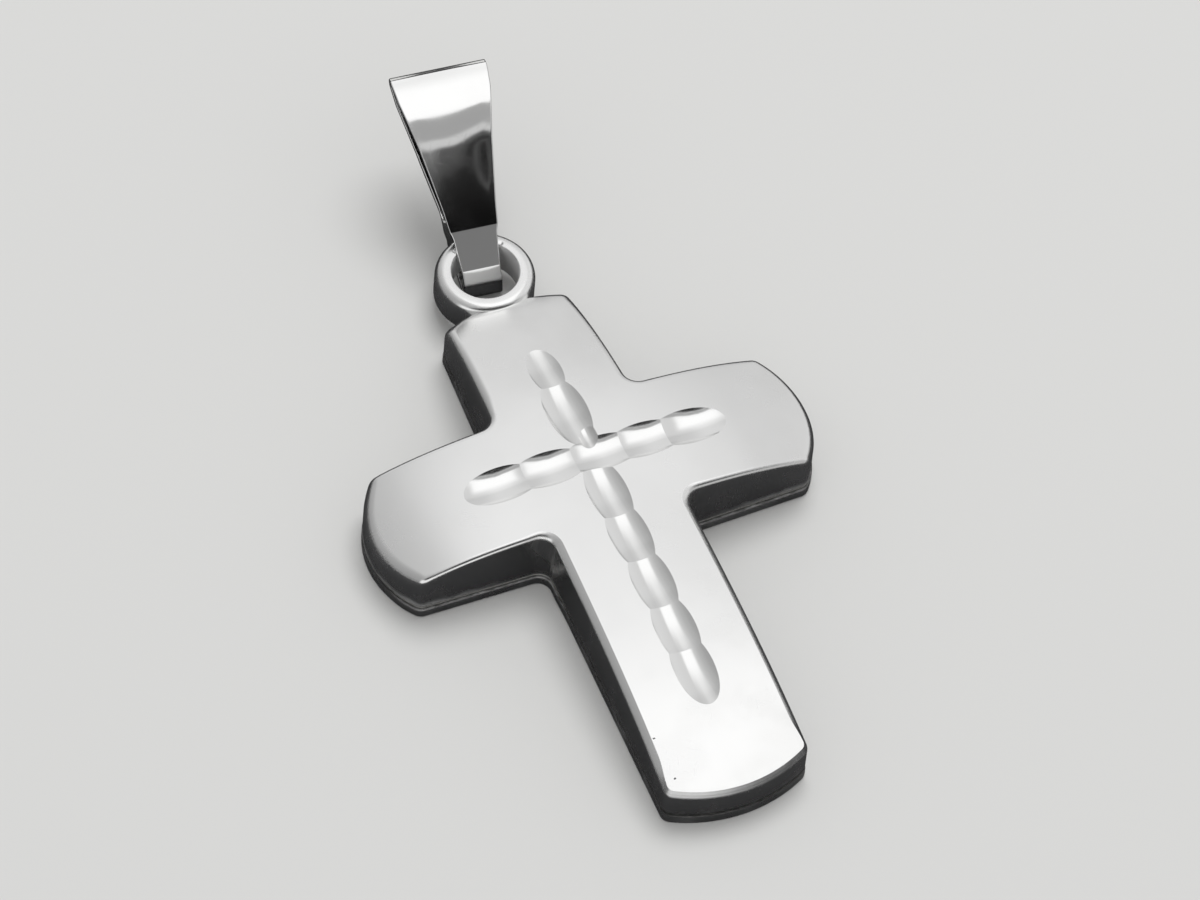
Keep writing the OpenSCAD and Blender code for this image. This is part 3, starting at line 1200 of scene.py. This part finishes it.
@dataclass
class SolderedRing:
    """The short thick ring on the upper arm's end."""

    centre_y: float = 12.9
    outer: float = 2.48
    hole: float = 1.69
    bottom: float = 0.65
    top: float = 2.6
    steps: int = 144
    crest: float = 0.26
    fall: float = 0.62
    back_edge: float = 0.2
    hole_edge: float = 0.1
    front_edge: float = 0.05
    bulge: Point = (0.92, 0.85)
    shoulder_steps: int = 16
    edge_steps: int = 6
    saddle: Stretch = (0.143, 0.99, 0.052, 1.11)
    saddle_half: float = 1.12
    saddle_sides: float = 8.0
    deepest: float = 0.7

    def _worn(self, x: float, y: float) -> float:
        """Height down to which the bail has worn the ring.

        Args:
            x: Place across.
            y: Place along, from the ring's middle.

        Returns:
            The height.
        """
        turn, along, roll, height = self.saddle
        if y <= 0:
            return self.top
        across = x * along - y * turn
        beside = max(0.0, abs(across) - self.saddle_half)
        return x * turn + y * along + roll * across + height + self.saddle_sides * beside

    def _section(self) -> list[Point]:
        """Closed section of the ring as radius and height, anticlockwise.

        Returns:
            The points.
        """
        o, h, b, t = self.outer, self.hole, self.bottom, self.top
        crest, e, f, g = h + self.crest, self.back_edge, self.front_edge, self.hole_edge
        outside = arc((o - e, b + e), e, -90, 0, 5)
        n, m = self.shoulder_steps, self.edge_steps
        wide, high = self.bulge
        shoulder = [(crest + (o - crest) * math.sin(a) ** wide,
                     t - self.fall * (1 - math.cos(a) ** high))
                    for a in [math.radians(90 - 90 * k / n) for k in range(n + 1)]]
        inner = [(h + f * (1 - math.sin(a)), t - f * (1 - math.cos(a)))
                 for a in [math.radians(90 * k / m) for k in range(m + 1)]]
        return outside + shoulder + inner + arc((h + g, b + g), g, 180, 270, 4)

    def build(self) -> Object:
        """Builds the ring by turning its section about the upright.

        Returns:
            The object.
        """
        section = self._section()
        loops = []
        for k in range(self.steps):
            a = 2 * math.pi * k / self.steps
            x, y = math.cos(a), math.sin(a)
            loops.append([Vector((r * x, self.centre_y + r * y, min(z, self._worn(r * x, r * y))
                                  if z > self.top - self.deepest else z)) for r, z in section])
        verts, faces = skin(loops, closed_path=True)
        return mesh_object("soldered_ring", verts, faces)

    def dress(self, ring: Object, finish: Material, inside: Material) -> None:
        """Gives the ring its finishes and its body.

        Args:
            ring: The ring.
            finish: Finish of its polished outside.
            inside: Finish of its hole.
        """
        ring.data.materials.append(finish)
        ring.data.materials.append(inside)
        for polygon in ring.data.polygons:
            c = polygon.center / MM
            away = math.hypot(c.x, c.y - self.centre_y)
            if away < self.hole + 0.04 and abs(polygon.normal.z) < 0.5:
                polygon.material_index = 1
        rim = arc((0.0, self.centre_y), self.hole + self.front_edge, 0, 357, 119)
        finish_mesh(ring, sharp=35, wear=0.15, rims=[Vector((x, y, self.top)) for x, y in rim])
        settle(ring, "pendant_body")


@dataclass
class StrapBail:
    """The tapered strap, bent through the ring and joined in a sharp fold at its top."""

    at: Point = (0.09, 12.97)
    turn: float = -8.2
    roll: float = 3.0
    rise: float = 34.0
    thickness: float = 0.3
    low: float = 0.96
    high: float = 2.43
    edge: float = 0.06
    crown: float = 0.06
    crown_rise: float = 4.0
    crown_top: float = 2.0
    crown_back: float = 0.6
    edge_rows: tuple[int, ...] = (2, 3, 19, 20)
    worn: float = 0.16
    worn_from: Point = (0.45, 0.85)
    worn_to: Point = (2.9, 2.3)
    wrap: tuple[Triple, ...] = (
        (0.62, 1.87, 0.3), (0.2, 1.3, 0.3), (0.15, 0.23, 0.28), (2.75, 0.23, 0.45),
        (3.35, 3.05, 0.9), (6.1, 4.3, 6), (9.615, 7.067, 0.2))
    kink: Point = (2.05, 3.3)
    kink_r: float = 0.3
    slopes: tuple[Triple, ...] = ((4.0, 37, 33), (1.8, 33, 26), (1.9, 26, 5))
    facet: float = 72.0
    widths: tuple[Point, ...] = (
        (-1, 0), (1.4, 0), (3.2, 0.1), (3.6, 0.18), (4.7, 0.27), (7.8, 0.6), (10.2, 0.93),
        (11.2, 1), (13, 1))
    step: float = 0.12

    def _front(self) -> list[Point]:
        """Front of the strap in side view, from the kink up to the fold, along its slopes.

        Returns:
            The points.
        """
        p = Vector(self.kink)
        points = []
        for length, first, last in self.slopes:
            n = round(length / self.step)
            for k in range(n):
                a = math.radians(first + (last - first) * (k + 0.5) / n)
                p = p + Vector((math.cos(a), math.sin(a))) * length / n
                points.append(tuple(p))
        return points

    def _path(self) -> list[Vector]:
        """Middle line of the strap in side view, evenly and finely stepped.

        Returns:
            The points.
        """
        front = self._front()[::-1]
        ends = [self.kink, *[c[:2] for c in self.wrap], front[0]]
        bends = [rounded(front[-1], self.kink, ends[1], self.kink_r, 6)]
        bends += [rounded(ends[i], (x, y), ends[i + 2], r, 24 if r > 3 else 12)
                  for i, (x, y, r) in enumerate(self.wrap)]
        points: list[Vector] = []
        for i, bend in enumerate(bends):
            points += [Vector(p) for p in bend]
            a, b = Vector(bend[-1]), Vector(bends[i + 1][0] if i + 1 < len(bends) else front[0])
            n = max(1, round((b - a).length / self.step))
            points += [a.lerp(b, j / n) for j in range(1, n)]
        return points + [Vector(p) for p in front[:-1]]

    def _outer(self, p: Vector) -> float:
        """How far the outer skin lies from the middle line, which is less on the fold's flat facet.

        Args:
            p: A place of the path.

        Returns:
            The distance.
        """
        plain = self.thickness / 2
        radius = self.wrap[-1][2]
        fold = Vector(self.wrap[-1][:2])
        front = (Vector(self._front()[-1]) - fold).normalized()
        back = (Vector(self.wrap[-2][:2]) - fold).normalized()
        centre = fold + (front + back).normalized() * radius / math.sin(front.angle(back) / 2)
        rel = p - centre
        if abs(rel.length - radius) > 0.02:
            return plain
        turned_by = math.degrees(math.atan2(-front.x, front.y) - math.atan2(rel.y, rel.x))
        if not -1 < turned_by < self.facet:
            return plain
        half = math.radians(self.facet / 2)
        chord = (radius + plain) * math.cos(half) / math.cos(math.radians(turned_by) - half)
        return chord - radius

    def _inner(self, p: Vector) -> float:
        """How far the inner skin lies from the middle line: less where the ring wears it."""
        on_ring = smoothstep(*self.worn_from, p.x) * smoothstep(*self.worn_to, p.x)
        return self.thickness / 2 - self.worn * on_ring * (p.y > p.x + 1)

    def _half_width(self, p: Vector) -> float:
        """Half width of the strap at a place of the side view.

        Args:
            p: The place.

        Returns:
            The half width.
        """
        a = math.radians(self.rise)
        s = p.x * math.cos(a) + p.y * math.sin(a)
        for (s0, f0), (s1, f1) in zip(self.widths, self.widths[1:]):
            if s <= s1:
                share = f0 + (f1 - f0) * (s - s0) / (s1 - s0)
                break
        else:
            share = 1.0
        return self.low + (self.high - self.low) * max(0.0, share)

    def _crown(self, path: Sequence[Vector]) -> list[float]:
        """How far the strap's sides fall below its middle, at each place of the path.

        Args:
            path: The path, which ends with the front from the fold down to the kink.

        Returns:
            The falls.
        """
        top = len(path) - len(self._front()) + 1
        falls = []
        for i, p in enumerate(path):
            if i >= top:
                share = smoothstep(0.0, self.crown_rise, (len(path) - i) * self.step) * (
                    0.5 + 0.5 * smoothstep(0.0, self.crown_top, (i - top) * self.step))
            else:
                share = 0.5 * smoothstep(self.crown_back, 0.0, (p - path[top]).length)
            falls.append(self.crown * share)
        return falls

    def _section(self, half: float, outer: float, inner: float, crown: float) -> list[Point]:
        """Section of the strap with softened edges, anticlockwise.

        Args:
            half: Half of its width.
            outer: Distance of the outer skin from the middle line.
            inner: Distance of the inner skin from it.
            crown: How far the outer skin falls towards the sides.

        Returns:
            The points, as width and distance outwards.
        """
        e, low = self.edge, -inner
        flat = half - e - 0.03
        across = [flat * k / 5 for k in range(5, -6, -1)]
        side = outer - crown
        first, second, third, fourth = (
            [(x * (half - e) + u, y + v) for u, v in arc((0, 0), e, turn, turn + 90, 5)]
            for x, y, turn in ((1, side - e, 0), (-1, side - e, 90),
                               (-1, low + e, 180), (1, low + e, 270)))
        crowned = [(u, outer - crown * (u / flat) ** 2) for u in across]
        return first + crowned + second + third + [(u, low) for u in reversed(across)] + fourth

    def build(self) -> Object:
        """Builds the strap by sweeping its softened section along the closed path.

        Returns:
            The object.
        """
        path = self._path()
        place = (Matrix.Translation(Vector((self.at[0], self.at[1], 0.0)))
                 @ Matrix.Rotation(math.radians(self.turn), 4, "Z")
                 @ Matrix.Rotation(math.radians(-self.roll), 4, "Y"))
        loops: list[Loop] = []
        for i, (p, crown) in enumerate(zip(path, self._crown(path))):
            along = (path[(i + 1) % len(path)] - path[i - 1]).normalized()
            out = Vector((along.y, -along.x))
            section = self._section(self._half_width(p), self._outer(p), self._inner(p), crown)
            loops.append([place @ Vector((u, p.x + out.x * v, p.y + out.y * v))
                          for u, v in section])
        verts, faces = skin(loops, closed_path=True)
        return mesh_object("strap_bail", verts, faces)

    def dress(self, strap: Object, finish: Material) -> None:
        """Gives the strap its finish and its body.

        Args:
            strap: The strap.
            finish: Its finish.
        """
        strap.data.materials.append(finish)
        around = len(self._section(1.0, 0.15, 0.15, 0.0))
        edges = [v.co / MM for v in strap.data.vertices if v.index % around in self.edge_rows]
        finish_mesh(strap, sharp=24, wear=0.07, rims=edges)
        settle(strap, "bail_body")


# Studio

@dataclass(frozen=True)
class Studio:
    """Plain pale floor, plain soft light and the camera."""

    eye: Triple = (-115.65, -220.88, 356.89)
    right: Triple = (0.9188, -0.3903, 0.0582)
    up: Triple = (0.2888, 0.7657, 0.5747)
    lens: float = 269.75
    floor_colour: Triple = (0.66, 0.66, 0.65)
    floor_size: float = 1500.0
    floor_z: float = -0.02
    felt_colour: Triple = (0.035, 0.035, 0.036)
    felt_size: float = 90.0
    felt_z: float = -0.008
    sensor: float = 36.0
    clip: Point = (0.01, 10.0)
    lamp_size: float = 0.5
    lamp_power: float = 3.0
    lamp_at: Triple = (0.18, 0.22, 0.7)
    across: tuple[Point, ...] = (
        (-1, 0.32), (-0.7, 0.38), (-0.5, 0.46), (-0.26, 0.56), (-0.09, 0.72), (0.09, 0.83),
        (0.22, 0.85), (0.43, 0.71), (0.57, 0.66), (0.7, 0.69), (0.9, 0.72))
    far_side: Stretch = (0.54, 0.68, 1.0, 0.87)
    horizon: Stretch = (0.0, 0.14, 0.15, 1.0)
    panel_left: Point = (-0.13, -0.07)
    panel_right: Stretch = (0.49, 0.55, 1.0, 0.0)
    panel_far: Stretch = (0.16, 0.56, 1.0, 0.0)
    panel: float = 1.08
    low_height: Stretch = (0.42, 0.5, 1.0, 0.0)
    low_side: Stretch = (-0.4, -0.2, 1.0, 0.0)
    low_value: Stretch = (0.06, 0.24, 0.9, 0.5)
    ambient: float = 0.62
    viewer_side: tuple[Triple, ...] = (
        (-0.295, 0.008, 0.37), (-0.435, 0.006, 0.62), (-0.485, 0.005, 0.07),
        (-0.522, 0.008, 0.015), (-0.57, 0.03, 0.004), (-0.75, 0.03, 0.1), (-0.79, 0.03, 0.19))
    tilt: tuple[Point, ...] = ((-1, 0.11), (0.0, 0.11), (0.17, 0.072), (0.3, 0.115), (0.5, 0.22))
    lens_marks: tuple[tuple[float, float, float, float, float], ...] = (
        (0.135, -0.575, 0.065, 0.003, 0.15), (0.138, -0.575, 0.059, 0.004, 0.004),
        (0.19, -0.6, 0.012, 0.006, 0.7))

    def floor(self) -> None:
        """Wide pale floor, and a dark felt that only reflections see."""
        pale = self._matt("pale_floor", self.floor_colour, 0.75)
        felt = self._matt("dark_felt", self.felt_colour, 0.9)
        wide = self._disc("floor", self.floor_size, self.floor_z, pale)
        card = self._disc("felt", self.felt_size, self.felt_z, felt)
        card.visible_camera = card.visible_diffuse = card.visible_shadow = False
        card.visible_transmission = card.visible_volume_scatter = False

    @staticmethod
    def _disc(name: str, radius: float, height: float, material: Material) -> Object:
        """Flat round sheet.

        Args:
            name: Name of the object.
            radius: Radius, in mm.
            height: Height, in mm.
            material: Its material.

        Returns:
            The object.
        """
        corners = 64
        ring = [Vector((radius * math.cos(a), radius * math.sin(a), height))
                for a in [2 * math.pi * k / corners for k in range(corners)]]
        mesh = bpy.data.meshes.new(name)
        mesh.from_pydata([tuple(v * MM) for v in ring], [], [list(range(corners))])
        mesh.materials.append(material)
        return add_object(name, mesh)

    @staticmethod
    def _matt(name: str, colour: Triple, roughness: float) -> Material:
        """Matt material of one colour for the stage.

        Args:
            name: Name of the material.
            colour: Its colour.
            roughness: Its roughness.

        Returns:
            The material.
        """
        made = bpy.data.materials.new(name)
        made.use_nodes = True
        shader = made.node_tree.nodes["Principled BSDF"]
        shader.inputs["Base Color"].default_value = (*colour, 1)
        shader.inputs["Roughness"].default_value = roughness
        shader.inputs["Specular IOR Level"].default_value = 0.2
        return made

    def sky(self) -> None:
        """Soft light tent: bright overhead, dim at the horizon, dark behind the camera."""
        world = bpy.data.worlds.new("light_tent")
        bpy.context.scene.world = world
        world.use_nodes = True
        world.node_tree.nodes.clear()
        t = NodeTree(world.node_tree)
        way = t.add("ShaderNodeTexCoord").outputs["Generated"]
        x, y, z = t.xyz(way)
        tent = self._curve(t, x, self.across)
        tent = t.times(tent, t.ramp(y, *self.far_side))
        tent = t.times(tent, t.ramp(z, *self.horizon))
        panel = t.times(t.ramp(x, *self.panel_left), t.ramp(x, *self.panel_right))
        panel = t.times(panel, t.ramp(y, *self.panel_far))
        seen = self._layer(t, tent, panel, self.panel)
        uneven = t.times(t.minus(t.noise(way, scale=7.0), 0.5), 0.05)
        slant = t.minus(self._curve(t, x, self.tilt), 0.1)
        back = t.plus(y, t.plus(slant, uneven))
        for place, soft, value in self.viewer_side:
            mask = t.ramp(back, place - soft, place + soft, to_low=1.0, to_high=0.0)
            seen = self._layer(t, seen, mask, value)
        flat = t.vector("MULTIPLY", way, (1.0, 1.0, 0.0))
        for x0, y0, radius, soft, value in self.lens_marks:
            far = t.vector("DISTANCE", flat, (x0, y0, 0.0))
            mask = t.ramp(far, radius - soft, radius + soft, to_low=1.0, to_high=0.0)
            seen = self._layer(t, seen, mask, value)
        low = t.times(t.ramp(z, *self.low_height), t.ramp(back, *self.low_side))
        seen = self._layer(t, seen, low, t.ramp(x, *self.low_value))
        glossy = t.add("ShaderNodeLightPath").outputs["Is Glossy Ray"]
        strength = self._layer(t, self.ambient, glossy, seen)
        light = t.out("ShaderNodeBackground", {"Color": (1.0, 1.0, 1.0, 1), "Strength": strength})
        t.add("ShaderNodeOutputWorld", {"Surface": light})

    @staticmethod
    def _curve(t: NodeTree, value: object, points: Sequence[Point]) -> NodeSocket:
        """Smooth curve through points, for a value from -1 to 1.

        Args:
            t: The tree.
            value: The value.
            points: Places from -1 to 1 and what the curve gives there.

        Returns:
            What the curve gives.
        """
        share = t.out("ShaderNodeMath", {0: value, 1: 0.5, 2: 0.5}, operation="MULTIPLY_ADD")
        node = t.add("ShaderNodeValToRGB", {0: share})
        ramp = node.color_ramp
        ramp.interpolation = "EASE"
        while len(ramp.elements) > 1:
            ramp.elements.remove(ramp.elements[-1])
        for k, (place, level) in enumerate(points):
            stop = ramp.elements[0] if k == 0 else ramp.elements.new((place + 1) / 2)
            stop.position = (place + 1) / 2
            stop.color = (level, level, level, 1)
        return node.outputs[0]

    @staticmethod
    def _layer(t: NodeTree, under: object, mask: object, value: object) -> NodeSocket:
        """Value laid over the value under it where a mask says so."""
        return t.out("ShaderNodeMix", {0: mask, 2: under, 3: value}, data_type="FLOAT")

    def lamps(self) -> None:
        """One large soft light overhead, for the floor's soft shadow."""
        data = bpy.data.lights.new("overhead", "AREA")
        data.shape, data.size, data.energy = "DISK", self.lamp_size, self.lamp_power
        lamp = add_object("overhead", data)
        lamp.location = self.lamp_at
        lamp.rotation_euler = (-lamp.location).to_track_quat("-Z", "Y").to_euler()
        lamp.visible_glossy = False

    def camera(self) -> None:
        """Camera at the viewing angle of the photograph."""
        data = bpy.data.cameras.new("camera")
        data.lens, data.sensor_width, data.sensor_fit = self.lens, self.sensor, "HORIZONTAL"
        data.clip_start, data.clip_end = self.clip
        cam = add_object("camera", data)
        right, up = Vector(self.right).normalized(), Vector(self.up).normalized()
        back = right.cross(up).normalized()
        up = back.cross(right)
        turn = Matrix((right, up, back)).transposed().to_4x4()
        cam.matrix_world = Matrix.Translation(Vector(self.eye) * MM) @ turn
        bpy.context.scene.camera = cam


def main() -> None:
    """Builds the pendant, its finishes and the studio."""
    logging.basicConfig(level=logging.INFO, format="%(name)s: %(message)s")
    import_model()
    scene = bpy.context.scene
    scene.view_settings.view_transform = "Standard"
    effects = Effects()
    made = {finish.name: finish.material(effects) for finish in FINISHES}
    cut = made["bright_cut"]
    shell = FrontShell()
    shell.dress(shell.build(cut), made["polished_face"], made["polished_wall"], cut)
    plate = BackPlate()
    plate.dress(plate.build(), made["brushed_back"])
    SolderBead().build(made["rough_solder"])
    ring = SolderedRing()
    ring.dress(ring.build(), made["polished_ring"], made["cast_inside"])
    bail = StrapBail()
    bail.dress(bail.build(), made["mirror_strap"])
    for name in ("front_shell", "back_plate", "solder_bead", "soldered_ring"):
        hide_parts("cross")
    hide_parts("bail")

    studio = Studio()
    studio.floor()
    studio.sky()
    studio.lamps()
    studio.camera()


if __name__ == "__main__":
    main()
